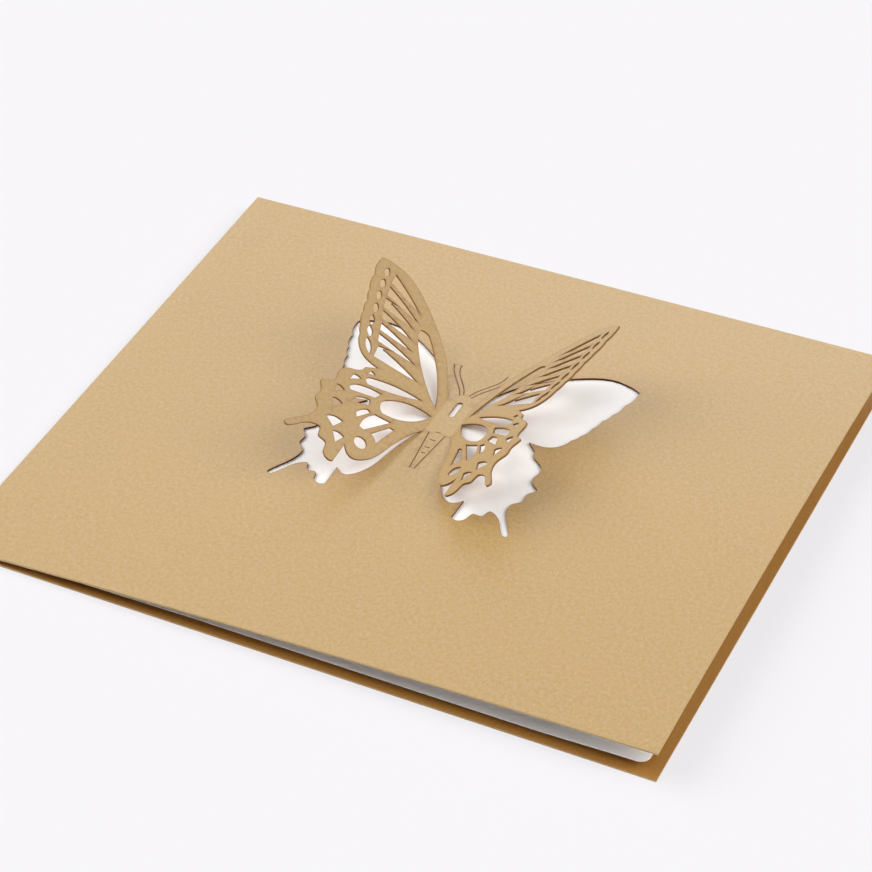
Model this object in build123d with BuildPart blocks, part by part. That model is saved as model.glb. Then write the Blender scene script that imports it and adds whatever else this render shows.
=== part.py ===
from build123d import *
import os
from math import asin, atan2, cos, degrees, hypot, radians, sin, sqrt

# Folded card with a butterfly that is cut from its own front panel and bent up.
# X runs from the fold to the open edge, Y along the fold, Z up from the table.

# Sheet sizes
card_width = 150.0          # fold to open edge
card_height = 130.0         # along the fold
card_thickness = 0.4        # heavy kraft card
leaf_thickness = 0.15       # white writing paper
leaf_inset = 2.5            # insert stays this far inside the cover's free edges
leaf_corner = 2.0           # rounded corners of the insert
leaf_gap = 0.5              # air between the cover's front panel and the insert
leaf_fold_radius = 0.15     # middle of the paper at the insert's fold

# How far the card stands open
fold_radius = 0.55          # middle of the card at the fold
lift_angle = 3.8            # slope of the front panel where it leaves the fold
bow_radius = 3000.0         # the front panel bows gently, flatter to the open edge

# Butterfly
axis_from_fold = 74.8       # body's middle line
waist_above_middle = 8.0    # just over the notch between fore and hind wing, above the card's middle
wing_reach = 32.6           # body's middle line to the wing tip
fore_height = 25.5          # waist to the top of the fore wing
hind_depth = 29.7           # waist down to the round end of the tail
hinge_offset = 3.0          # bend line of each wing, from the body's middle line
crease_radius = 0.18        # round of the bend, just inside the sheet's thickness
slit_width = 0.18           # what the cutter takes away along a line
left_root_angle = 31.0      # slope of each wing where it leaves the body and at its tip
left_tip_angle = 42.5
right_root_angle = 28.5
right_tip_angle = 40.0

half_width = card_width / 2
half_height = card_height / 2
wing_length = wing_reach - hinge_offset
half_turn = 180.0

# Outline of a wing: first number a share of the reach, second a share of the height
# above the waist (fore) or of the depth below it (hind).
hinge_top_share = 0.19
hinge_bottom_share = 0.17
leading_shares = [(0.14, 0.33), (0.22, 0.51), (0.32, 0.66), (0.43, 0.78), (0.53, 0.87), (0.63, 0.94),
                  (0.72, 0.985), (0.80, 1.00), (0.89, 0.98), (0.955, 0.95), (0.99, 0.92)]
fore_cusp_shares = [(0.957, 0.72), (0.922, 0.56), (0.886, 0.45), (0.862, 0.33), (0.826, 0.205), (0.79, 0.12)]
fore_corner_shares = [(0.755, 0.025), (0.70, -0.03), (0.64, -0.045)]
notch_share = (0.557, 0.028)
hind_cusp_share = (0.628, 0.108)
outer_wave_shares = [(0.66, 0.185), (0.72, 0.24), (0.74, 0.305), (0.727, 0.38), (0.757, 0.447),
                     (0.793, 0.485), (0.755, 0.55), (0.754, 0.635), (0.71, 0.683), (0.705, 0.76),
                     (0.79, 0.945), (0.81, 0.99)]
tail_end_share = (0.772, 0.997)
inner_wave_shares = [(0.735, 0.935), (0.67, 0.836), (0.612, 0.813), (0.588, 0.875), (0.535, 0.876),
                     (0.505, 0.953), (0.46, 0.979), (0.424, 0.96)]
lobe_notch_share = (0.428, 0.775)
inner_margin_shares = [(0.345, 0.825), (0.268, 0.75), (0.20, 0.52), (0.128, 0.26)]
scallop_share = 0.09
tail_round_share = 0.34

# Openings in the fore wing, by their corners and by how far each side bulges outward
fore_cell_shares = [(0.12, 0.05), (0.43, 0.645), (0.50, 0.63), (0.49, 0.55)]
fore_cell_bulge_shares = [0.07, 0.18, 0.06, 0.055]
ray_shares = [((0.56, 0.76), (0.85, 0.90), (0.84, 0.79)),
              ((0.54, 0.67), (0.83, 0.75), (0.81, 0.65)),
              ((0.53, 0.575), (0.805, 0.62), (0.78, 0.52)),
              ((0.50, 0.47), (0.77, 0.495), (0.745, 0.41)),
              ((0.455, 0.37), (0.725, 0.375), (0.705, 0.30)),
              ((0.38, 0.28), (0.695, 0.27), (0.67, 0.19)),
              ((0.305, 0.15), (0.65, 0.16), (0.63, 0.03))]
ray_bulge_shares = [0.04, 0.0, 0.0]
oval_shares = [(0.905, 0.84), (0.88, 0.71), (0.85, 0.58), (0.815, 0.45), (0.785, 0.32), (0.75, 0.21),
               (0.70, 0.08)]
oval_half_length_shares = [0.042, 0.042, 0.042, 0.042, 0.042, 0.044, 0.062]
oval_bulge_shares = [0.25, 0.25, 0.25, 0.25, 0.25, 0.24, 0.18]
oval_lean_angles = [80, 78, 76, 74, 70, 62, 52]

# Openings in the hind wing: the large cell, two long ones beside it, and four that ring the eye
hind_cell_shares = [[(0.11, 0.04), (0.39, 0.20), (0.365, 0.325)],
                    [(0.215, -0.02), (0.54, 0.13), (0.578, 0.18), (0.545, 0.21)],
                    [(0.44, 0.19), (0.60, 0.28), (0.63, 0.34), (0.61, 0.36), (0.46, 0.26)],
                    [(0.475, 0.305), (0.55, 0.365), (0.57, 0.445), (0.457, 0.345)],
                    [(0.423, 0.39), (0.453, 0.387), (0.497, 0.48), (0.477, 0.513)],
                    [(0.285, 0.335), (0.393, 0.375), (0.427, 0.56), (0.393, 0.557)],
                    [(0.243, 0.37), (0.272, 0.378), (0.345, 0.543), (0.283, 0.58)]]
hind_cell_bulge_shares = [[0.12, 0.27, 0.13],
                          [0.06, 0.10, 0.20, 0.03],
                          [0.065, 0.08, 0.20, 0.0, 0.0],
                          [0.08, 0.0, 0.0, 0.0],
                          [0.0, 0.08, 0.0, 0.0],
                          [0.0, 0.11, 0.0, 0.0],
                          [0.0, 0.0, -0.12, 0.0]]
eye_share = (0.36, 0.67)
eye_radius_share = 0.044
round_bulge_share = 0.5
crescent_bulge_shares = [0.16, 0.0, 0.0]
crescent_shares = [[(0.545, 0.10), (0.58, 0.09), (0.59, 0.135)],
                   [(0.60, 0.215), (0.655, 0.23), (0.655, 0.288)],
                   [(0.635, 0.405), (0.70, 0.41), (0.685, 0.475)],
                   [(0.595, 0.51), (0.67, 0.53), (0.63, 0.60)],
                   [(0.525, 0.63), (0.63, 0.695), (0.555, 0.725)],
                   [(0.46, 0.73), (0.54, 0.755), (0.485, 0.82)]]

# Body: head opening, feelers and ringed tail end, all cut as lines or small openings
head_shares = [(-0.019, 0.04), (-0.019, 0.21), (0.019, 0.21), (0.019, 0.04)]
head_bulge_shares = [0.0, 0.34, 0.0, 0.34]
feeler_shares = [[(0.04, 0.31), (0.11, 0.46), (0.18, 0.59), (0.21, 0.68)],
                 [(0.02, 0.33), (0.09, 0.49), (0.14, 0.59), (0.16, 0.69)]]
tail_slit_shares = [(0.056, 0.19), (0.015, 0.595)]
ring_slit_shares = [(0.018, 0.175), (0.018, 0.265), (0.016, 0.35), (0.014, 0.415)]

# Derived places of the front panel, whose middle is an arc about the bow centre
fold_x = -half_width + fold_radius + card_thickness / 2
fold_top = card_thickness / 2 + fold_radius * (1 + cos(radians(lift_angle)))
panel_start_x = fold_x - fold_radius * sin(radians(lift_angle))
bow_x = panel_start_x + bow_radius * sin(radians(lift_angle))
bow_z = fold_top - bow_radius * cos(radians(lift_angle))
panel_turn = lift_angle - degrees(asin((bow_x - half_width) / bow_radius))
axis_x = axis_from_fold - half_width


def panel_level(x):
    # Height of the middle of the front panel at this distance across the card.
    return bow_z + sqrt(bow_radius ** 2 - (x - bow_x) ** 2)


# Cuts in the front panel reach half way down to the table, and as far above
cut_reach = panel_level(axis_x) / 2


def fore(shares):
    return (shares[0] * wing_reach, shares[1] * fore_height)


def hind(shares):
    return (shares[0] * wing_reach, -shares[1] * hind_depth)


# Every opening in a wing: its corners, and the bulge of each side
cells = [([fore(point) for point in fore_cell_shares], fore_cell_bulge_shares)]
for corner_shares in ray_shares:
    cells.append(([fore(point) for point in corner_shares], ray_bulge_shares))
for corner_shares, bulge_shares in zip(hind_cell_shares, hind_cell_bulge_shares):
    cells.append(([hind(point) for point in corner_shares], bulge_shares))
for corner_shares in crescent_shares:
    cells.append(([hind(point) for point in corner_shares], crescent_bulge_shares))

# Round openings have two ends, and both sides bulge alike
for place_share, half_share, bulge_share, lean in zip(
    oval_shares, oval_half_length_shares, oval_bulge_shares, oval_lean_angles
):
    middle = fore(place_share)
    half_x = half_share * wing_reach * cos(radians(lean))
    half_y = half_share * wing_reach * sin(radians(lean))
    ends = [(middle[0] - half_x, middle[1] - half_y), (middle[0] + half_x, middle[1] + half_y)]
    cells.append((ends, [bulge_share, bulge_share]))
eye = hind(eye_share)
eye_radius = eye_radius_share * wing_reach
eye_ends = [(eye[0] - eye_radius, eye[1]), (eye[0] + eye_radius, eye[1])]
cells.append((eye_ends, [round_bulge_share, round_bulge_share]))


def flat_plane(side):
    # Level drawing plane for one side's cuts, clear of the front panel, drawn outward from the body.
    origin = (axis_x, waist_above_middle, panel_level(axis_x) - side * cut_reach)
    return Plane(origin=origin, x_dir=(side, 0, 0), z_dir=(0, 0, side))


def scallop(start, end, bulge_share):
    # Stretch of a cut line that bulges to the left of its direction, or is straight.
    if bulge_share:
        SagittaArc(start, end, bulge_share * hypot(end[0] - start[0], end[1] - start[1]))
    else:
        Line(start, end)


def closed_cut(corners, bulge_shares):
    # Cut line around one opening, corner to corner.
    for start, end, bulge_share in zip(corners, corners[1:] + corners[:1], bulge_shares):
        scallop(start, end, bulge_share)


def wing_outline(root):
    # Cut line of a wing, from the top of the bend line around the wing and back.
    hinge_top = (root, hinge_top_share * fore_height)
    hinge_bottom = (root, -hinge_bottom_share * hind_depth)
    leading = [hinge_top] + [fore(point) for point in leading_shares]
    fore_cusps = [leading[-1]] + [fore(point) for point in fore_cusp_shares]
    fore_corner = [fore_cusps[-1]] + [fore(point) for point in fore_corner_shares] + [hind(notch_share)]
    outer_waves = [hind(hind_cusp_share)] + [hind(point) for point in outer_wave_shares]
    inner_waves = [hind(tail_end_share)] + [hind(point) for point in inner_wave_shares]
    inner_margin = [hind(lobe_notch_share)] + [hind(point) for point in inner_margin_shares] + [hinge_bottom]
    Spline(*leading)
    for start, end in zip(fore_cusps, fore_cusps[1:]):
        scallop(start, end, scallop_share)
    Spline(*fore_corner)
    Line(fore_corner[-1], outer_waves[0])
    Spline(*outer_waves)
    scallop(outer_waves[-1], inner_waves[0], tail_round_share)
    Spline(*inner_waves)
    Line(inner_waves[-1], inner_margin[0])
    Spline(*inner_margin)
    Line(hinge_bottom, hinge_top)


def wing_pattern(plane, root, pierced):
    # Flat pattern of one wing; the wing itself is pierced between its veins, the window it leaves is not.
    with BuildSketch(plane) as pattern:
        with BuildLine():
            wing_outline(root)
        make_face()
        if pierced:
            for corners, bulge_shares in cells:
                with BuildLine():
                    closed_cut(corners, bulge_shares)
                make_face(mode=Mode.SUBTRACT)
    return pattern.sketch


def wing_solid(side, root_angle, tip_angle):
    # One wing: a bowed strip of the sheet that starts at the bend line, trimmed to the flat pattern.
    hinge_x = axis_x + side * hinge_offset
    hinge = (hinge_x, panel_level(hinge_x))
    bend = radians(tip_angle - root_angle)
    chord = radians((root_angle + tip_angle) / 2)
    out = Vector(side * cos(chord), 0, sin(chord))
    chord_plane = Plane(
        origin=Vector(hinge_x, waist_above_middle, hinge[1]) - out * hinge_offset,
        x_dir=out,
        z_dir=(-sin(chord), 0, side * cos(chord)),
    )
    pattern = wing_pattern(chord_plane.offset(-wing_reach), hinge_offset - card_thickness, True)
    with BuildPart() as wing:
        with BuildSketch(Plane.XZ):
            with BuildLine():
                JernArc(
                    start=hinge,
                    tangent=(side * cos(radians(root_angle)), sin(radians(root_angle))),
                    radius=wing_length / abs(bend),
                    arc_size=side * degrees(bend) * wing_reach / wing_length,
                )
            trace(line_width=card_thickness)
            with Locations(hinge):
                Circle(crease_radius)
        extrude(amount=half_height, both=True)
        extrude(pattern, amount=wing_reach + wing_reach, mode=Mode.INTERSECT)
    return wing.part


# Flat patterns of the two windows, and of the lines cut in the body
windows = [wing_pattern(flat_plane(side), hinge_offset, False) for side in (-1, 1)]

with BuildSketch(flat_plane(1)) as body_cuts:
    with BuildLine():
        closed_cut([fore(point) for point in head_shares], head_bulge_shares)
    make_face()
    for side in (-1, 1):
        for shares in feeler_shares:
            with BuildLine():
                Spline(*[(side * fore(point)[0], fore(point)[1]) for point in shares])
            trace(line_width=slit_width)
        with BuildLine():
            Line(*[(side * hind(point)[0], hind(point)[1]) for point in tail_slit_shares])
        trace(line_width=slit_width)
    for half_share, depth_share in ring_slit_shares:
        with BuildLine():
            Line(hind((-half_share, depth_share)), hind((half_share, depth_share)))
        trace(line_width=slit_width)

# Cover: one folded sheet, with the windows and lines cut in its front panel and the wings bent up
left_wing = wing_solid(-1, left_root_angle, left_tip_angle)
right_wing = wing_solid(1, right_root_angle, right_tip_angle)

with BuildPart() as cover:
    with BuildSketch(Plane.XZ):
        with BuildLine():
            back_line = Line((half_width, card_thickness / 2), (fold_x, card_thickness / 2))
            fold_line = JernArc(back_line @ 1, back_line % 1, fold_radius, lift_angle - half_turn)
            JernArc(fold_line @ 1, fold_line % 1, bow_radius, -panel_turn)
        trace(line_width=card_thickness)
    extrude(amount=half_height, both=True)
    for window in windows:
        extrude(window, amount=cut_reach + cut_reach, mode=Mode.SUBTRACT)
    extrude(body_cuts.sketch, amount=cut_reach + cut_reach, mode=Mode.SUBTRACT)
    add(left_wing)
    add(right_wing)

# Insert: one folded leaf, its back half lying on the back panel and its front half under the front panel
leaf_level = card_thickness + leaf_thickness / 2
leaf_radius = bow_radius - card_thickness / 2 - leaf_gap - leaf_thickness / 2
leaf_fold_z = leaf_level + leaf_fold_radius
leaf_fold_x = bow_x - sqrt((leaf_radius - leaf_fold_radius) ** 2 - (leaf_fold_z - bow_z) ** 2)
leaf_slope = degrees(atan2(bow_x - leaf_fold_x, leaf_fold_z - bow_z))
leaf_turn = leaf_slope - degrees(asin((bow_x - half_width) / leaf_radius))

with BuildPart() as insert:
    with BuildSketch(Plane.XZ):
        with BuildLine():
            back_leaf = Line((half_width, leaf_level), (leaf_fold_x, leaf_level))
            leaf_fold = JernArc(back_leaf @ 1, back_leaf % 1, leaf_fold_radius, leaf_slope - half_turn)
            JernArc(leaf_fold @ 1, leaf_fold % 1, leaf_radius, -leaf_turn)
        trace(line_width=leaf_thickness)
    extrude(amount=half_height, both=True)
    with BuildSketch(Plane.XY):
        with Locations((-leaf_inset - half_width, 0)):
            RectangleRounded(card_width + card_width, card_height - leaf_inset - leaf_inset, leaf_corner)
    extrude(amount=panel_level(half_width) + card_thickness, mode=Mode.INTERSECT)

os.makedirs("parts", exist_ok=True)
cover.part.label = "cover"
export_step(cover.part, "parts/cover.step")
insert.part.label = "insert"
export_step(insert.part, "parts/insert.step")
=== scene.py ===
import math
import bmesh
import bpy
import numpy as np
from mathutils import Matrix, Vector
from mathutils.geometry import delaunay_2d_cdt
from mathutils.kdtree import KDTree


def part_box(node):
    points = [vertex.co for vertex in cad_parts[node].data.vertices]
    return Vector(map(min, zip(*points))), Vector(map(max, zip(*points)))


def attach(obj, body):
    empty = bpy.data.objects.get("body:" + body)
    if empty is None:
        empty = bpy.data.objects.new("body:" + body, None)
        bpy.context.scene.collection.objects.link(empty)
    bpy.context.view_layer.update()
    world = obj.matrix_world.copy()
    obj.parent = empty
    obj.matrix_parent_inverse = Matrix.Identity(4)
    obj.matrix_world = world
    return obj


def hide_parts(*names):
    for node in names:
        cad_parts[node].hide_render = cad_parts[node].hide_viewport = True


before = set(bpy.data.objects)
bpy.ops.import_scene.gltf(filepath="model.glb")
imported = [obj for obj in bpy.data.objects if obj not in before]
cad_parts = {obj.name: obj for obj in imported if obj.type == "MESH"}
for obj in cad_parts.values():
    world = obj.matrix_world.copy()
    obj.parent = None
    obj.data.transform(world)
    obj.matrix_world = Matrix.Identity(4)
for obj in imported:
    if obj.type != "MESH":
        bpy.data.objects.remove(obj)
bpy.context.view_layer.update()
mm = 0.001
weld = 0.001 * mm                   # points nearer than this are one
smoothAngle = math.radians(24)      # edges sharper than this stay sharp
print("frame loaded:", ", ".join(sorted(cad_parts)))


# small helpers

def linear(hexColour):
    # sRGB hex to the linear colour that the shader wants
    parts = [int(hexColour[i:i + 2], 16) / 255 for i in (1, 3, 5)]
    return tuple(p / 12.92 if p <= 0.04045 else ((p + 0.055) / 1.055) ** 2.4 for p in parts) + (1,)


def addNode(tree, kind, settings=None, inputs=None):
    node = tree.nodes.new(kind)
    for name, value in (settings or {}).items():
        setattr(node, name, value)
    for name, value in (inputs or {}).items():
        if isinstance(value, bpy.types.NodeSocket):
            tree.links.new(value, node.inputs[name])
        else:
            node.inputs[name].default_value = value
    return node


def newMaterial(name):
    material = bpy.data.materials.new(name)
    material.use_nodes = True
    material.node_tree.nodes.clear()
    return material, material.node_tree


def finishMaterial(tree, shader):
    addNode(tree, "ShaderNodeOutputMaterial", {}, {"Surface": shader.outputs["BSDF"]})


def activate(obj):
    bpy.ops.object.select_all(action="DESELECT")
    obj.select_set(True)
    bpy.context.view_layer.objects.active = obj


def smoothStep(value, low, high):
    t = np.clip((value - low) / (high - low), 0, 1)
    return t * t * (3 - 2 * t)


# how both folded sheets lie

coverSheet = {
    "width": 150 * mm,              # fold to open edge
    "thickness": 0.4 * mm,
    "foldRadius": 0.55 * mm,        # middle of the card at the fold
    "liftAngle": 3.8,               # degrees, where the front panel leaves the fold
    "bowRadius": 3000 * mm,         # the front panel flattens towards the open edge
    "bodyLine": -0.2 * mm,          # x of the butterfly's middle line
    "bendOffset": 3.0 * mm,         # each wing's bend line from the body line
    "wingLength": 29.6 * mm,        # bend line to wing tip
    "slopes": {-1: (31, 42.5), 1: (28.5, 40)},      # degrees at root and tip, left and right wing
    "sagFront": -0.60 * mm,         # the front panel hangs at its front and back edge
    "sagBack": -1.77 * mm,
    "sagAtFold": 0.5,               # share of it that is left at the fold
    "cornerLift": 3.0 * mm,         # the back end of the fold curls up
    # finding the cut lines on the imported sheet
    "panelTilt": 0.99,              # upward part of a normal on the front panel, at least
    "wingTilts": (0.66, 0.92),      # and on a wing's upper side
    "wingTwist": 0.02,              # most that a wing's normal leans along the fold
    "bendZone": 0.2 * mm,           # cut points this near to a bend line lie on it
    "bodyWidth": 12 * mm,           # cut lines narrower than this are the body's slits
    # mesh
    "panelGrid": 4.0 * mm,          # spacing on the plain panels
    "panelClear": 1.0 * mm,         # no grid vertex nearer to a cut than this
    "wingGrid": 1.5 * mm,           # and on the wings
    "wingClear": 0.5 * mm,
    "cutMargin": 0.28 * mm,         # ring of vertices beside each cut line
    "marginClear": 0.21 * mm,
    "cutSample": 0.1 * mm,          # spacing of the points that stand for a cut line in a search
    "foldSteps": 12,
    # browning along the cuts, and painted shade on the panel's cut walls
    "scorchReach": 0.30 * mm,       # how far it fades into the card
    "scorchLimit": 0.5,             # a rim below this is a trimmed one, not a cut
    "wingCharAndShade": {-1: 0.0, 1: 0.25},     # cut walls of the wings are lighter than the panel's, whose full dark is char plus painted shade
    "slitCharAndShade": 0.15,               # and so are those of the fine slits in the body
}

coverLow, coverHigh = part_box("cover")
halfWidth = coverSheet["width"] / 2
halfHeight = (coverHigh.y - coverLow.y) / 2
lift = math.radians(coverSheet["liftAngle"])
foldX = coverSheet["foldRadius"] + coverSheet["thickness"] / 2 - halfWidth
foldTop = coverSheet["thickness"] / 2 + coverSheet["foldRadius"] * (1 + math.cos(lift))
bowX = foldX - coverSheet["foldRadius"] * math.sin(lift) + coverSheet["bowRadius"] * math.sin(lift)
bowZ = foldTop - coverSheet["bowRadius"] * math.cos(lift)


def foldedLine(level, foldRadius, bowRadius):
    # how a folded sheet runs in section: gives where its front half starts, its flat reach round the
    # fold, the fold's centre and a function from flat distance across the sheet to (x, z)
    centreZ = level + foldRadius
    centreX = bowX - math.sqrt((bowRadius - foldRadius) ** 2 - (centreZ - bowZ) ** 2)
    slope = math.atan2(bowX - centreX, centreZ - bowZ)
    startX = centreX - foldRadius * math.sin(slope)
    foldReach = foldRadius * (math.pi - slope)

    def section(flat):
        turn = slope + np.clip(startX - flat, 0, foldReach) / foldRadius
        x = centreX - foldRadius * np.sin(turn) + np.maximum(startX - foldReach - flat, 0)
        z = centreZ + foldRadius * np.cos(turn)
        onPanel = flat > startX
        panelZ = bowZ + np.sqrt(bowRadius ** 2 - (flat - bowX) ** 2)
        return np.where(onPanel, flat, x), np.where(onPanel, panelZ, z)

    return startX, foldReach, centreX, section


def settle(x, y, z):
    # how the card lies after use: its front panel sags to the front and back, and the back end of
    # the fold curls up and takes both halves along
    along = (y + halfHeight) / (2 * halfHeight)
    across = np.clip((x + halfWidth) / (2 * halfWidth), 0, 1)
    front, back = coverSheet["sagFront"], coverSheet["sagBack"]
    sag = front * (1 - along) * (1 - 2 * along) + back * along * (2 * along - 1)
    curl = coverSheet["cornerLift"] * along ** 2
    upper = sag * (coverSheet["sagAtFold"] * (1 - across) + across) + curl * (1 - across) ** 2
    lower = np.maximum(sag * coverSheet["sagAtFold"] + curl, 0) * (1 - across) ** 2
    return lower + (upper - lower) * smoothStep(z, foldTop / 2, foldTop)


# flat layout of a sheet; a rim is an array of line pieces, each a pair of points

def cutLines(cadMesh, isSkin):
    # rims of the faces that isSkin picks on a merged copy of the CAD sheet, with their heights
    sheet = bmesh.new()
    sheet.from_mesh(cadMesh)
    bmesh.ops.remove_doubles(sheet, verts=sheet.verts, dist=weld)
    bmesh.ops.dissolve_degenerate(sheet, dist=weld, edges=sheet.edges)
    sheet.normal_update()
    skin = {face for face in sheet.faces if isSkin(face)}
    sheet.edges.index_update()
    waiting = {edge.index: edge for edge in sheet.edges
               if sum(face in skin for face in edge.link_faces) == 1}
    rims = []
    while waiting:
        reached = [waiting.pop(next(iter(waiting)))]
        rim = []
        while reached:
            edge = reached.pop()
            rim.append([tuple(vert.co) for vert in edge.verts])
            beside = [other.index for vert in edge.verts for other in vert.link_edges]
            reached += [waiting.pop(i) for i in beside if i in waiting]
        rims.append(np.array(rim))
    sheet.free()
    return rims


def inside(points, rim):
    # even-odd test of points against the line pieces of a rim
    px, py = points[:, :1], points[:, 1:]
    ax, ay, bx, by = rim[:, 0, 0], rim[:, 0, 1], rim[:, 1, 0], rim[:, 1, 1]
    crossed = (ay > py) != (by > py)
    slope = (bx - ax) / np.where(by == ay, 1, by - ay)
    return (crossed & (px < ax + (py - ay) * slope)).sum(axis=1) % 2 == 1


def lineTree(rims, step):
    # search tree of points along the rims
    samples = []
    for a, b in np.concatenate(rims):
        count = max(1, int(np.hypot(*(b - a)) / step))
        samples += [a + (b - a) * (k / count) for k in range(count + 1)]
    tree = KDTree(len(samples))
    for k, sample in enumerate(samples):
        tree.insert((sample[0], sample[1], 0), k)
    tree.balance()
    return tree


def distanceTo(tree, point):
    return tree.find((point[0], point[1], 0))[2]


def clearOf(points, tree, distance):
    # the points that keep this distance from everything in the tree
    return [p for p in points if distanceTo(tree, p) > distance]


def besideLines(rims, margin):
    # points on both sides of each line piece
    points = []
    for a, b in np.concatenate(rims):
        along = b - a
        length = np.hypot(*along)
        if length > 0:
            across = np.array((-along[1], along[0])) / length * margin
            middle = (a + b) / 2
            points += [tuple(middle + across), tuple(middle - across)]
    return points


def lineOf(a, b, step):
    # straight line cut into pieces of about this length
    a, b = np.array(a), np.array(b)
    count = max(1, round(np.hypot(*(b - a)) / step))
    stops = [a + (b - a) * (k / count) for k in range(count + 1)]
    return list(zip(stops, stops[1:]))


def outlineOf(corners, step):
    # closed outline through the corners
    rim = []
    for a, b in zip(corners, corners[1:] + corners[:1]):
        rim += lineOf(a, b, step)
    return np.array(rim)


def flatGrid(xs, ys):
    return [(x, y) for x in xs for y in ys]


def sheetGrid(startX, foldReach, foldSteps, endX, backX, endY, step):
    # lines along the fold, an even grid over both halves and the fold, and the ends of the fold lines
    folds = startX - np.linspace(0, foldReach, foldSteps + 1)
    front = np.arange(startX + step, endX - step / 2, step)
    back = np.arange(folds[-1] - step, backX + step / 2, -step)
    ys = np.linspace(-endY, endY, round(2 * endY / step) + 1)[1:-1]
    return folds, flatGrid(np.concatenate((front, folds, back)), ys), flatGrid(folds, (-endY, endY))


def triangulate(points, rims):
    # flat triangles over the points, with the rims' line pieces kept as edges
    verts = [Vector(p) for p in points]
    edges = []
    for a, b in np.concatenate(rims):
        edges.append((len(verts), len(verts) + 1))
        verts += [Vector(a), Vector(b)]
    flat, _, faces, _, _, _ = delaunay_2d_cdt(verts, edges, [], 0, weld / 2)
    return np.array([tuple(v) for v in flat]), np.array([tuple(f) for f in faces])


def makeSheet(name, points, faces, flat, levels, thickness, materials):
    # one mesh from its middle surface, with its flat layout as UV map, given its thickness
    mesh = bpy.data.meshes.new(name)
    mesh.from_pydata([tuple(p) for p in points], [], [tuple(int(i) for i in f) for f in faces])
    mesh.validate()
    sheet = bpy.data.objects.new(name, mesh)
    bpy.context.scene.collection.objects.link(sheet)
    layout = mesh.uv_layers.new(name="Sheet")
    for loop in mesh.loops:
        layout.data[loop.index].uv = flat[loop.vertex_index]
    for level, values in levels.items():
        mesh.attributes.new(level, "FLOAT", "POINT").data.foreach_set("value", values)
    for material in materials:
        mesh.materials.append(material)
    activate(sheet)
    bpy.ops.object.modifier_add(type="SOLIDIFY")
    solidify = sheet.modifiers[-1]
    solidify.thickness = thickness
    solidify.offset = 0
    solidify.use_even_offset = True
    solidify.material_offset_rim = 1
    solidify.material_offset = len(materials) - 1
    bpy.ops.object.modifier_apply(modifier=solidify.name)
    bpy.ops.object.shade_smooth_by_angle(angle=smoothAngle)
    return sheet


# the folded cover, one sheet of card with the butterfly cut out and bent up; side is -1 for the
# left wing and 1 for the right one

def bendLine(side):
    return coverSheet["bodyLine"] + side * coverSheet["bendOffset"]


def onBend(x, side):
    return np.abs(x - bendLine(side)) < weld / 10


def wingFrame(side):
    # bend point, and the directions along and off the chord of a bowed wing, in the XZ plane
    hingeX = bendLine(side)
    hinge = np.array((hingeX, bowZ + math.sqrt(coverSheet["bowRadius"] ** 2 - (hingeX - bowX) ** 2)))
    chord = math.radians(sum(coverSheet["slopes"][side]) / 2)
    out = np.array((side * math.cos(chord), math.sin(chord)))
    up = np.array((-side * math.sin(chord), math.cos(chord)))
    return hinge, out, up


def wingLines(side):
    # cut lines of a wing in the flat sheet, its outline first; the bend line is left out
    hinge, out, _ = wingFrame(side)
    lowTilt, highTilt = coverSheet["wingTilts"]

    def isSkin(face):
        n, middle = face.normal, face.calc_center_median()
        onSide = side * (middle.x - coverSheet["bodyLine"]) > 0 and middle.z > foldTop
        leans = lowTilt < n.z < highTilt and abs(n.y) < coverSheet["wingTwist"]
        return onSide and leans and side * n.x < 0

    rims = []
    for rim in cutLines(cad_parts["cover"].data, isSkin):
        along = (rim[:, :, 0] - hinge[0]) * out[0] + (rim[:, :, 2] - hinge[1]) * out[1]
        atBend = along < coverSheet["bendZone"]
        along = np.where(atBend, 0, along)
        flatX = coverSheet["bodyLine"] + side * (coverSheet["bendOffset"] + along)
        rims.append(np.stack((flatX, rim[:, :, 1]), axis=2)[~atBend.all(axis=1)])
    return sorted(rims, key=len, reverse=True)


def bodyLines():
    # cut lines of the slits in head, feelers and abdomen
    def isPanel(face):
        return face.normal.z > coverSheet["panelTilt"] and face.calc_center_median().z > foldTop

    rims = cutLines(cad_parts["cover"].data, isPanel)
    return [rim[:, :, :2] for rim in rims if np.ptp(rim[:, :, 0]) < coverSheet["bodyWidth"]]


def bendPieces(side, outline):
    # the bend line between the two ends of a wing's outline
    ends = outline[onBend(outline[:, :, 0], side)]
    low, high = ends[:, 1].min(), ends[:, 1].max()
    return np.array(lineOf((bendLine(side), low), (bendLine(side), high), coverSheet["wingGrid"]))


def bendWing(side, flat):
    # flat points of a wing, bowed and turned up about its bend line
    hinge, out, up = wingFrame(side)
    root, tip = (math.radians(a) for a in coverSheet["slopes"][side])
    length = coverSheet["wingLength"]
    turn = tip - root
    along = side * (flat[:, 0] - coverSheet["bodyLine"]) - coverSheet["bendOffset"]
    lean = np.arcsin(np.clip(along * turn / length - math.sin(turn / 2), -1, 1))
    rise = (math.cos(turn / 2) - np.cos(lean)) * length / turn
    place = hinge + along[:, None] * out + rise[:, None] * up
    z = place[:, 1] + settle(hinge[0], flat[:, 1], hinge[1])
    return np.stack((place[:, 0], flat[:, 1], z), axis=1)


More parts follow.
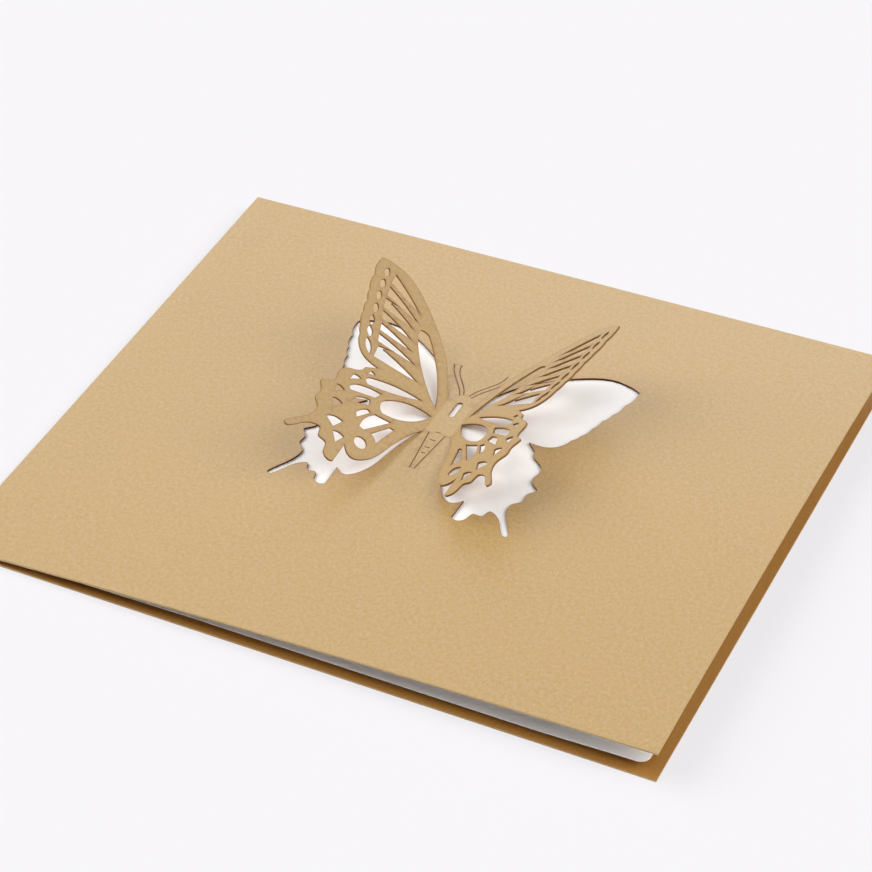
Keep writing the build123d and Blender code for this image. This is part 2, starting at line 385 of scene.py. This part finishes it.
def buildCover(materials):
    startX, foldReach, centreX, section = foldedLine(
        coverSheet["thickness"] / 2, coverSheet["foldRadius"], coverSheet["bowRadius"])
    backX = startX - foldReach - (halfWidth - centreX)
    corners = [(backX, -halfHeight), (halfWidth, -halfHeight), (halfWidth, halfHeight), (backX, halfHeight)]
    edge = outlineOf(corners, coverSheet["panelGrid"])
    slits = bodyLines()
    wings = {side: wingLines(side) for side in (-1, 1)}
    bends = {side: bendPieces(side, wings[side][0]) for side in (-1, 1)}
    cuts = slits + wings[-1] + wings[1]
    tree = lineTree(cuts, coverSheet["cutSample"])
    slitTree = lineTree(slits, coverSheet["cutSample"])

    # vertices: a coarse grid on the panels, lines along the fold, a fine grid on the wings,
    # and a ring beside every cut
    _, grid, foldEnds = sheetGrid(startX, foldReach, coverSheet["foldSteps"], halfWidth, backX,
                                  halfHeight, coverSheet["panelGrid"])
    points = clearOf(grid, tree, coverSheet["panelClear"]) + foldEnds
    fine = coverSheet["wingGrid"]
    for side in (-1, 1):
        low, high = wings[side][0].min(axis=(0, 1)), wings[side][0].max(axis=(0, 1))
        grid = flatGrid(np.arange(low[0], high[0], fine), np.arange(low[1], high[1], fine))
        points += clearOf(grid, tree, coverSheet["wingClear"])
    points += clearOf(besideLines(cuts, coverSheet["cutMargin"]), tree, coverSheet["marginClear"])
    flat, faces = triangulate(points, [edge] + cuts + [bends[-1], bends[1]])

    # triangles inside a wing's outline go with that wing, those in an opening fall away
    middles = flat[faces].mean(axis=1)
    kept = np.ones(len(faces), bool)
    region = np.zeros(len(faces), int)
    for rim in slits + wings[-1][1:] + wings[1][1:]:
        kept &= ~inside(middles, rim)
    for side in (-1, 1):
        region[inside(middles, np.concatenate((wings[side][0], bends[side])))] = side
    x, z = section(flat[:, 0])
    panel = np.stack((x, flat[:, 1], z + settle(x, flat[:, 1], z)), axis=1)
    bent = {0: panel, -1: bendWing(-1, flat), 1: bendWing(1, flat)}

    # a vertex on a cut line is there twice, on the wing and on the panel; one on a bend line once
    places, flats, charAndShadeLevels, index, sheetFaces = [], [], [], {}, []
    for face, side in zip(faces[kept], region[kept]):
        corner = []
        for i in face:
            key = (int(i), 0 if onBend(flat[i, 0], side) else int(side))
            if key not in index:
                index[key] = len(places)
                places.append(bent[key[1]][i])
                flats.append(flat[i])
                atSlit = distanceTo(slitTree, flat[i]) < coverSheet["cutSample"] / 2
                # panel cut walls take the full dark level, char plus painted shade
                panelCharAndShade = coverSheet["slitCharAndShade"] if atSlit else 1.0
                charAndShadeLevels.append(coverSheet["wingCharAndShade"].get(key[1], panelCharAndShade))
            corner.append(index[key])
        sheetFaces.append(corner)
    away = np.array([distanceTo(tree, p) for p in flats])
    levels = {"scorch": np.exp(-away / coverSheet["scorchReach"]), "char_and_shade": charAndShadeLevels}
    sheet = makeSheet("cover_sheet", places, sheetFaces, flats, levels, coverSheet["thickness"], materials)
    burnt = sheet.data.attributes["scorch"].data
    for face in sheet.data.polygons:
        browned = min(burnt[i].value for i in face.vertices) >= coverSheet["scorchLimit"]
        if face.material_index == 1 and not browned:
            face.material_index = 2          # rim of the trimmed sheet, not of a cut
    print("cover sheet:", len(wings[-1]), "and", len(wings[1]), "cut lines on the wings,",
          len(slits), "on the body,", len(sheet.data.polygons), "faces")
    return sheet


# the white leaf inside, folded once and slipped a little to the front

insertSheet = {
    "thickness": 0.15 * mm,
    "inset": 2.5 * mm,              # from the cover's free edges
    "corner": 2.0 * mm,             # round of its corners
    "gap": 0.5 * mm,                # air under the front panel
    "foldRadius": 0.15 * mm,
    "grid": 4.0 * mm,
    "foldSteps": 8,
    "cornerSteps": 8,
    "slip": 1.0 * mm,               # the leaf has slipped this far to the front
    "frontLift": 1.05 * mm,         # its lower half curls up from the back panel at the front edge
    "frontReach": 22 * mm,          # as far in as this
    "cornerLift": 0.6 * mm,         # and a little more at the open corner
    "cornerReach": 25 * mm,
    "curlLimit": 1 / 3,             # share of the room below the front panel that the curl may take
    "rise": 0.42 * mm,              # the upper leaf springs up against the front panel
    "riseReach": 12 * mm,           # from this far from its fold
}


def roundedOutline(lowX, highX, endY):
    # the leaf's flat outline with its round corners
    r, steps = insertSheet["corner"], insertSheet["cornerSteps"]
    centres = [(highX - r, endY - r), (lowX + r, endY - r), (lowX + r, r - endY), (highX - r, r - endY)]
    corners = []
    for quarter, (x, y) in enumerate(centres):
        for k in range(steps + 1):
            angle = (quarter + k / steps) * math.pi / 2
            corners.append((x + r * math.cos(angle), y + r * math.sin(angle)))
    return outlineOf(corners, insertSheet["grid"])


def buildInsert(materials):
    level = coverSheet["thickness"] + insertSheet["thickness"] / 2
    bowRadius = (coverSheet["bowRadius"] - coverSheet["thickness"] / 2 - insertSheet["gap"]
                 - insertSheet["thickness"] / 2)
    startX, foldReach, centreX, section = foldedLine(level, insertSheet["foldRadius"], bowRadius)
    endX = halfWidth - insertSheet["inset"]
    endY = halfHeight - insertSheet["inset"]
    backX = startX - foldReach - (endX - centreX)
    folds, grid, foldEnds = sheetGrid(startX, foldReach, insertSheet["foldSteps"], endX, backX, endY,
                                      insertSheet["grid"])
    flat, faces = triangulate(grid + foldEnds, [roundedOutline(backX, endX, endY)])
    x, z = section(flat[:, 0])
    room = bowZ + np.sqrt(bowRadius ** 2 - (x - bowX) ** 2) - level
    curl = insertSheet["frontLift"] * (1 - smoothStep(flat[:, 1] + endY, 0, insertSheet["frontReach"]))
    corner = np.hypot(x - endX, flat[:, 1] + endY)
    curl += insertSheet["cornerLift"] * (1 - smoothStep(corner, 0, insertSheet["cornerReach"]))
    curl = np.minimum(curl, room * insertSheet["curlLimit"])
    rise = insertSheet["rise"] * smoothStep(x - startX, 0, insertSheet["riseReach"])
    z = z + settle(x, flat[:, 1], z) + np.where(flat[:, 0] < folds[-1], curl, rise)
    places = np.stack((x, flat[:, 1] - insertSheet["slip"], z), axis=1)
    sheet = makeSheet("insert_leaf", places, faces, flat, {}, insertSheet["thickness"], materials)
    print("insert:", len(sheet.data.polygons), "faces")
    return sheet


# materials

kraftLook = {
    # the inside is a darker, more saturated and less glossy copy of the outside: painted shade for the gap
    # between the halves
    "outside": {"dark": "#AC8D42", "light": "#B79468", "haze": "#B59255", "fibres": "#CEB487", "sheen": 0.9},
    "inside": {"dark": "#A87630", "light": "#AE7C3A", "haze": "#AB7935", "fibres": "#BC9050", "sheen": 0.4},
    "blotchSize": 0.9 * mm,
    "blotchRange": (0.34, 0.66),
    "cloudSize": 14 * mm,
    "cloudRange": (0.3, 0.7),
    "cloudShare": 0.3,
    "fibreSize": (0.35 * mm, 0.8 * mm),     # real ones are about 0.03 mm wide, too fine to show
    "fibreTurns": (0.5, -0.9),              # radians, two lays
    "fibreRange": (0.58, 0.85),
    "fibreShare": 0.28,
    "toast": "#8A5A2A",                     # browning beside a cut
    "toastRange": (0.35, 1.0),
    "toastShare": 0.45,
    "toothSize": 0.35 * mm,                 # coarser than the real felt, so that it shows
    "toothDepth": 0.03 * mm,
    "toothStrength": 0.25,
    "roughness": 0.43,
}


def kraftCard(name, face):
    # uncoated kraft board, pressed from unbleached pulp: brown below a faint white sheen of loose
    # fibres, softly mottled in yellowish and pinkish tan, with a few pale fibre ends
    look = {**kraftLook, **kraftLook[face]}
    material, tree = newMaterial(name)
    layout = addNode(tree, "ShaderNodeUVMap", {"uv_map": "Sheet"}).outputs["UV"]
    blotch = addNode(tree, "ShaderNodeTexNoise", {"noise_dimensions": "2D"},
                     {"Vector": layout, "Scale": 1 / look["blotchSize"], "Detail": 3, "Roughness": 0.65})
    low, high = look["blotchRange"]
    tone = addNode(tree, "ShaderNodeMapRange", {},
                   {"Value": blotch.outputs["Fac"], "From Min": low, "From Max": high})
    colour = addNode(tree, "ShaderNodeMix", {"data_type": "RGBA"},
                     {0: tone.outputs[0], 6: linear(look["dark"]), 7: linear(look["light"])}).outputs[2]
    cloud = addNode(tree, "ShaderNodeTexNoise", {"noise_dimensions": "2D"},
                    {"Vector": layout, "Scale": 1 / look["cloudSize"], "Detail": 2})
    low, high = look["cloudRange"]
    clouded = addNode(tree, "ShaderNodeMapRange", {},
                      {"Value": cloud.outputs["Fac"], "From Min": low, "From Max": high,
                       "To Max": look["cloudShare"]})
    colour = addNode(tree, "ShaderNodeMix", {"data_type": "RGBA"},
                     {0: clouded.outputs[0], 6: colour, 7: linear(look["haze"])}).outputs[2]
    # fibre ends: stretched grains in two lays
    wide, long = look["fibreSize"]
    low, high = look["fibreRange"]
    for turn in look["fibreTurns"]:
        turned = addNode(tree, "ShaderNodeMapping", {},
                         {"Vector": layout, "Rotation": (0, 0, turn), "Scale": (1 / wide, 1 / long, 1)})
        grain = addNode(tree, "ShaderNodeTexNoise", {"noise_dimensions": "2D"},
                        {"Vector": turned.outputs[0], "Scale": 1.0, "Detail": 1})
        fibre = addNode(tree, "ShaderNodeMapRange", {},
                        {"Value": grain.outputs["Fac"], "From Min": low, "From Max": high,
                         "To Max": look["fibreShare"]})
        colour = addNode(tree, "ShaderNodeMix", {"data_type": "RGBA"},
                         {0: fibre.outputs[0], 6: colour, 7: linear(look["fibres"])}).outputs[2]
    burn = addNode(tree, "ShaderNodeAttribute", {"attribute_name": "scorch"})
    low, high = look["toastRange"]
    toast = addNode(tree, "ShaderNodeMapRange", {},
                    {"Value": burn.outputs["Fac"], "From Min": low, "From Max": high,
                     "To Max": look["toastShare"]})
    colour = addNode(tree, "ShaderNodeMix", {"data_type": "RGBA"},
                     {0: toast.outputs[0], 6: colour, 7: linear(look["toast"])}).outputs[2]
    tooth = addNode(tree, "ShaderNodeTexNoise", {"noise_dimensions": "2D"},
                    {"Vector": layout, "Scale": 1 / look["toothSize"], "Detail": 2})
    bump = addNode(tree, "ShaderNodeBump", {},
                   {"Height": tooth.outputs["Fac"], "Strength": look["toothStrength"],
                    "Distance": look["toothDepth"]})
    shader = addNode(tree, "ShaderNodeBsdfPrincipled", {},
                     {"Base Color": colour, "Roughness": look["roughness"],
                      "Specular IOR Level": look["sheen"], "Normal": bump.outputs[0]})
    finishMaterial(tree, shader)
    return material


cutLook = {
    "patchSize": 0.8 * mm,
    "brown": ("#B08852", "#936839"),        # where the beam only browned the wall
    "black": ("#2C140B", "#63361B"),        # where it charred it; on the panel's window walls this dark is also painted shade
    "roughness": 0.9,
    "gloss": 0.2,
}


def scorchedShadedEdge():
    # card cut by a hot beam: the wall of the cut is charred, light brown to nearly black; the nearly black
    # of the panel's window walls is partly painted shade
    material, tree = newMaterial("card_scorched_cut_and_painted_shade")
    place = addNode(tree, "ShaderNodeTexCoord").outputs["Object"]
    patchy = addNode(tree, "ShaderNodeTexNoise", {},
                     {"Vector": place, "Scale": 1 / cutLook["patchSize"], "Detail": 2})
    tones = []
    for first, second in (cutLook["brown"], cutLook["black"]):
        tone = addNode(tree, "ShaderNodeMix", {"data_type": "RGBA"},
                       {0: patchy.outputs["Fac"], 6: linear(first), 7: linear(second)})
        tones.append(tone.outputs[2])
    # level of the cut wall's dark: real char, and painted shade on the panel's walls
    charAndShade = addNode(tree, "ShaderNodeAttribute", {"attribute_name": "char_and_shade"})
    colour = addNode(tree, "ShaderNodeMix", {"data_type": "RGBA"},
                     {0: charAndShade.outputs["Fac"], 6: tones[0], 7: tones[1]})
    shader = addNode(tree, "ShaderNodeBsdfPrincipled", {},
                     {"Base Color": colour.outputs[2], "Roughness": cutLook["roughness"],
                      "Specular IOR Level": cutLook["gloss"]})
    finishMaterial(tree, shader)
    return material


trimLook = {
    "woolSize": 0.5 * mm,
    "colours": ("#B8935E", "#DCC29A"),
    "roughness": 0.9,
    "gloss": 0.2,
}


def trimmedEdge():
    # the board's own core where the sheet was trimmed: paler and woolly
    material, tree = newMaterial("card_trimmed_edge")
    place = addNode(tree, "ShaderNodeTexCoord").outputs["Object"]
    wool = addNode(tree, "ShaderNodeTexNoise", {},
                   {"Vector": place, "Scale": 1 / trimLook["woolSize"], "Detail": 3})
    dark, light = (linear(tone) for tone in trimLook["colours"])
    colour = addNode(tree, "ShaderNodeMix", {"data_type": "RGBA"},
                     {0: wool.outputs["Fac"], 6: dark, 7: light})
    shader = addNode(tree, "ShaderNodeBsdfPrincipled", {},
                     {"Base Color": colour.outputs[2], "Roughness": trimLook["roughness"],
                      "Specular IOR Level": trimLook["gloss"]})
    finishMaterial(tree, shader)
    return material


paperLook = {
    "cloudSize": 3 * mm,
    "colours": ("#FAF9F8", "#FEFEFD"),
    "toothSize": 0.25 * mm,                 # coarser than the real felt, so that it shows
    "toothDepth": 0.02 * mm,
    "toothStrength": 0.15,
    "roughness": 0.85,
    "gloss": 0.2,
}


def whitePaper():
    # uncoated white writing paper: bleached, matt, with a faint cloudy formation
    material, tree = newMaterial("writing_paper_white")
    layout = addNode(tree, "ShaderNodeUVMap", {"uv_map": "Sheet"}).outputs["UV"]
    cloud = addNode(tree, "ShaderNodeTexNoise", {"noise_dimensions": "2D"},
                    {"Vector": layout, "Scale": 1 / paperLook["cloudSize"], "Detail": 4})
    dark, light = (linear(tone) for tone in paperLook["colours"])
    colour = addNode(tree, "ShaderNodeMix", {"data_type": "RGBA"},
                     {0: cloud.outputs["Fac"], 6: dark, 7: light})
    tooth = addNode(tree, "ShaderNodeTexNoise", {"noise_dimensions": "2D"},
                    {"Vector": layout, "Scale": 1 / paperLook["toothSize"], "Detail": 2})
    bump = addNode(tree, "ShaderNodeBump", {},
                   {"Height": tooth.outputs["Fac"], "Strength": paperLook["toothStrength"],
                    "Distance": paperLook["toothDepth"]})
    shader = addNode(tree, "ShaderNodeBsdfPrincipled", {},
                     {"Base Color": colour.outputs[2], "Roughness": paperLook["roughness"],
                      "Specular IOR Level": paperLook["gloss"], "Normal": bump.outputs[0]})
    finishMaterial(tree, shader)
    return material


outerCard = kraftCard("kraft_card_outside", "outside")
# the inside faces get the darker copy of the kraft: painted shade
shadedInnerCard = kraftCard("kraft_card_inside_painted_shade", "inside")
cover = buildCover([outerCard, scorchedShadedEdge(), trimmedEdge(), shadedInnerCard])
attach(cover, "root")
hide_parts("cover")

paper = whitePaper()
insert = buildInsert([paper, paper])
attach(insert, "root")
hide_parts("insert")
print("sheets dressed")


# floor, light and camera

stageSet = {
    "floorSize": 6.0,
    "floorDrop": 0.02 * mm,         # keeps the floor just clear of the card's underside
    "floorColour": "#EAE9EB",
    "backdropColour": "#F7F5F8",    # what the camera sees of the white room
    "backdropShare": 0.68,          # how far the floor takes that colour too
    "skyStrength": 0.38,            # overhead, fading to nothing at the horizon
    # far soft boxes: azimuth from the front, elevation and width in degrees, and strength
    "farLamps": [(-85, 38, 45, 2.26), (97, 42, 45, 1.95), (15, 78, 30, 0.12)],
    # low soft box behind the card, which only gives it its sheen
    "sheenPlace": (-1.0, 2.9, 1.40),
    "sheenSize": (3.0, 1.3),
    "sheenPower": 25.0,
    "sheenColour": "#EEF4FF",
}


def backdropRays(tree):
    # 1 for rays that see the white room: from the camera, and by gloss or through glass
    path = addNode(tree, "ShaderNodeLightPath")
    seen = path.outputs["Is Camera Ray"]
    for kind in ("Is Glossy Ray", "Is Transmission Ray"):
        seen = addNode(tree, "ShaderNodeMath", {"operation": "MAXIMUM"},
                       {0: seen, 1: path.outputs[kind]}).outputs[0]
    return seen


def direction(azimuth, elevation):
    # from the card, azimuth counted from straight in front to the right
    turn, rise = math.radians(azimuth), math.radians(elevation)
    return Vector((math.sin(turn) * math.cos(rise), -math.cos(turn) * math.cos(rise), math.sin(rise)))


def turnTo(obj, heading):
    # lamps and cameras look along their own -Z
    obj.rotation_euler = heading.to_track_quat("-Z", "Y").to_euler()


bpy.ops.object.select_all(action="DESELECT")
bpy.ops.mesh.primitive_plane_add(size=stageSet["floorSize"], location=(0, 0, -stageSet["floorDrop"]))
floor = bpy.context.object
floor.name = "table_top"
floorMaterial, floorTree = newMaterial("pale_table")
floorPaint = addNode(floorTree, "ShaderNodeBsdfDiffuse", {}, {"Color": linear(stageSet["floorColour"])})
floorWhite = addNode(floorTree, "ShaderNodeEmission", {}, {"Color": linear(stageSet["backdropColour"])})
floorShare = addNode(floorTree, "ShaderNodeMath", {"operation": "MULTIPLY"},
                     {0: backdropRays(floorTree), 1: stageSet["backdropShare"]})
floorShader = addNode(floorTree, "ShaderNodeMixShader", {},
                      {0: floorShare.outputs[0], 1: floorPaint.outputs[0], 2: floorWhite.outputs[0]})
addNode(floorTree, "ShaderNodeOutputMaterial", {}, {"Surface": floorShader.outputs[0]})
floor.data.materials.append(floorMaterial)

world = bpy.data.worlds.new("soft_room")
world.use_nodes = True
bpy.context.scene.world = world
sky = world.node_tree
sky.nodes.clear()
height = addNode(sky, "ShaderNodeSeparateXYZ", {},
                 {"Vector": addNode(sky, "ShaderNodeTexCoord").outputs["Generated"]})
fading = addNode(sky, "ShaderNodeMapRange", {"interpolation_type": "SMOOTHSTEP"},
                 {"Value": height.outputs["Z"], "To Max": stageSet["skyStrength"]})
ambient = addNode(sky, "ShaderNodeBackground", {},
                  {"Color": (1, 1, 1, 1), "Strength": fading.outputs[0]})
white = addNode(sky, "ShaderNodeBackground", {},
                {"Color": linear(stageSet["backdropColour"]), "Strength": 1.0})
both = addNode(sky, "ShaderNodeMixShader", {},
               {0: backdropRays(sky), 1: ambient.outputs[0], 2: white.outputs[0]})
addNode(sky, "ShaderNodeOutputWorld", {}, {"Surface": both.outputs[0]})

for azimuth, elevation, width, strength in stageSet["farLamps"]:
    bpy.ops.object.light_add(type="SUN", location=direction(azimuth, elevation))
    lamp = bpy.context.object
    lamp.data.angle = math.radians(width)
    lamp.data.energy = strength
    turnTo(lamp, -lamp.location)

bpy.ops.object.light_add(type="AREA", location=stageSet["sheenPlace"])
sheenBox = bpy.context.object
sheenBox.data.shape = "RECTANGLE"
sheenBox.data.size, sheenBox.data.size_y = stageSet["sheenSize"]
sheenBox.data.energy = stageSet["sheenPower"]
sheenBox.data.color = linear(stageSet["sheenColour"])[:3]
sheenBox.visible_diffuse = False
turnTo(sheenBox, -sheenBox.location)

cameraSet = {
    "target": Vector((-3.18 * mm, 8.04 * mm, 0)),
    "azimuth": 25.288,
    "elevation": 38.663,
    "distance": 613.5 * mm,
    "lens": 123.31,
    "sensor": 36,
    "clipStart": 10 * mm,
}
back = direction(cameraSet["azimuth"], cameraSet["elevation"])
bpy.ops.object.camera_add(location=cameraSet["target"] + back * cameraSet["distance"])
camera = bpy.context.object
turnTo(camera, -back)
camera.data.lens = cameraSet["lens"]
camera.data.sensor_width = cameraSet["sensor"]
camera.data.clip_start = cameraSet["clipStart"]
bpy.context.scene.camera = camera
bpy.context.scene.view_settings.view_transform = "Standard"
print("stage set")
